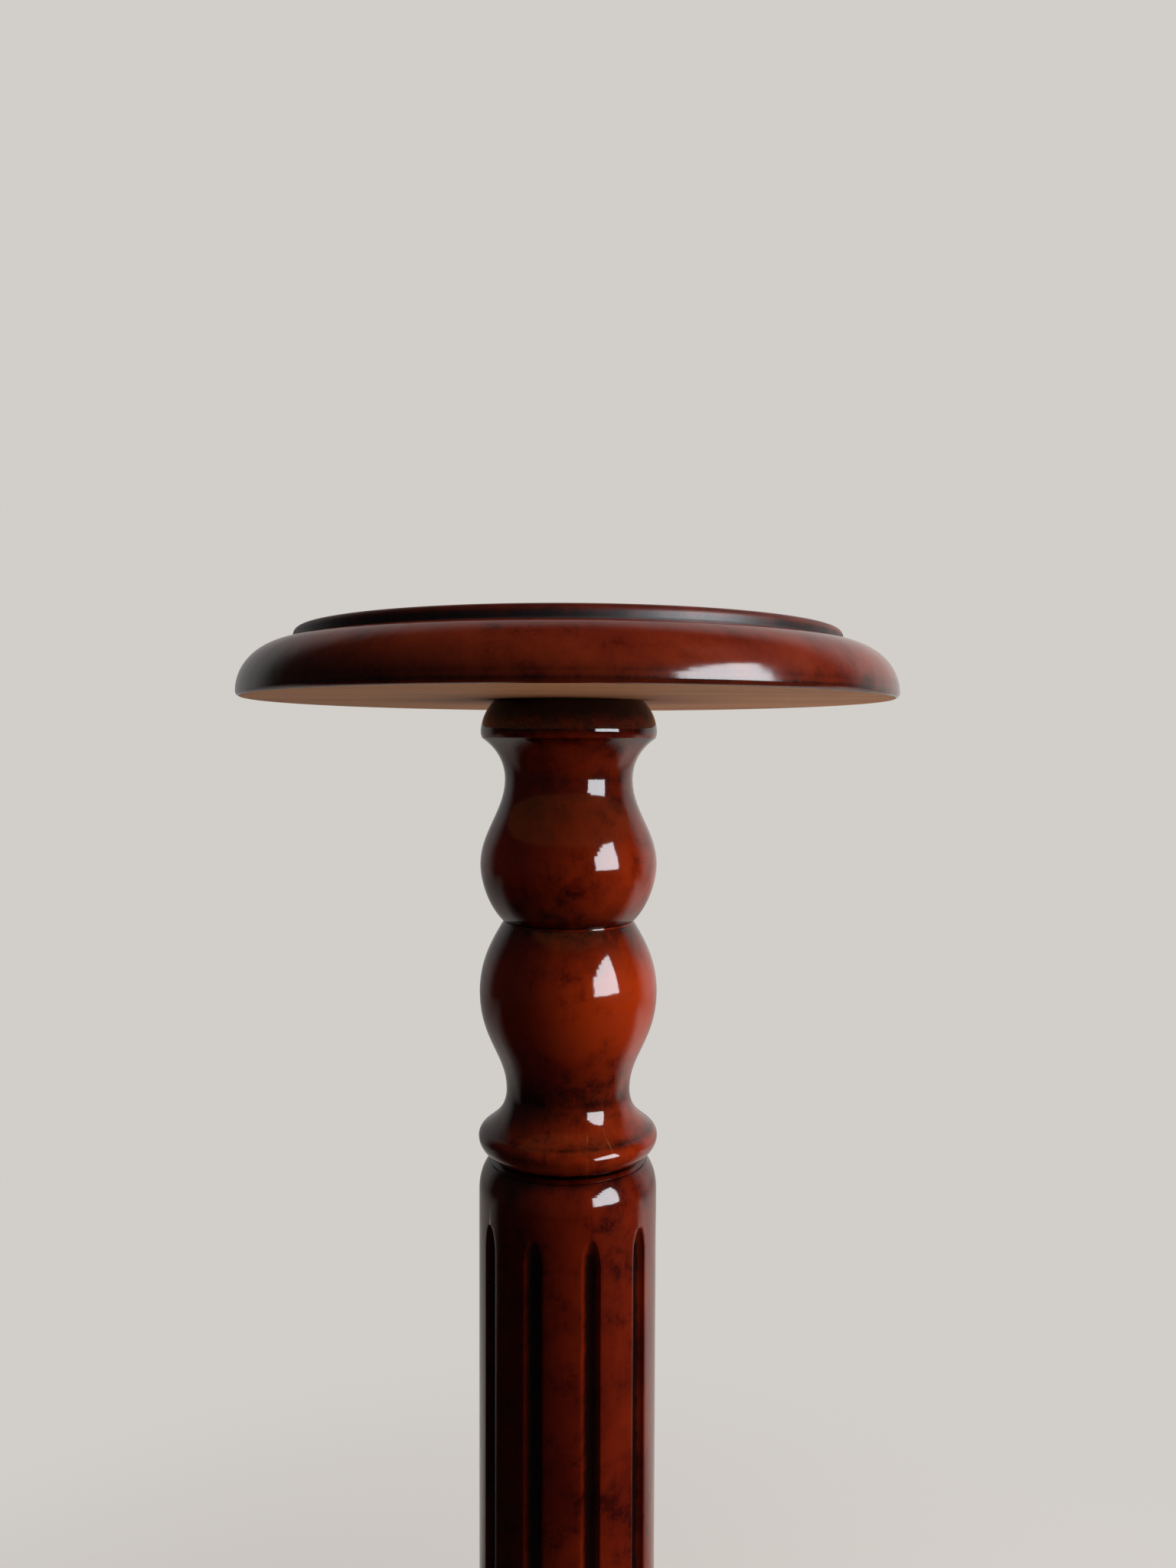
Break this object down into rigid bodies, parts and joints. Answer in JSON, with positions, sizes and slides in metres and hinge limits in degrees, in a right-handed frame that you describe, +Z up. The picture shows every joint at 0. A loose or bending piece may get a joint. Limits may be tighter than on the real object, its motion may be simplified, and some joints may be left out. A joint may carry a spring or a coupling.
{
  "type": "pedestal column stand",
  "caption": "Round pedestal stand with a moulded top and base, a turned capital and foot, a fluted column and bun feet.",
  "frame": {"origin": "on the floor, under the middle of the base", "axes": "+Z up along the column, +X to the right and -Y towards the viewer as pictured"},
  "size_m": [0.33, 0.33, 0.915],
  "materials": {
    "mahogany": "high-gloss toned lacquer over mahogany-coloured hardwood, undersides bare",
    "beech": "bare",
    "brass": "bright",
    "zinc_steel": "zinc plated",
    "felt": "pressed felt"
  },
  "bodies": {
    "root": {"top_board": "mahogany", "top_insert": "brass", "top_stud": "zinc_steel", "upper_turning": "mahogany", "upper_dowel": "beech", "fluted_shaft": "mahogany", "lower_dowel": "beech", "lower_turning": "mahogany", "column_insert": "brass", "base_board": "mahogany", "base_washer": "zinc_steel", "base_bolt": "zinc_steel", "bun_foot_1": "mahogany", "bun_foot_2": "mahogany", "bun_foot_3": "mahogany", "bun_foot_4": "mahogany", "foot_stud_1": "zinc_steel", "foot_stud_2": "zinc_steel", "foot_stud_3": "zinc_steel", "foot_stud_4": "zinc_steel", "foot_insert_1": "brass", "foot_insert_2": "brass", "foot_insert_3": "brass", "foot_insert_4": "brass", "felt_pad_1": "felt", "felt_pad_2": "felt", "felt_pad_3": "felt", "felt_pad_4": "felt"}
  },
  "joints": []
}
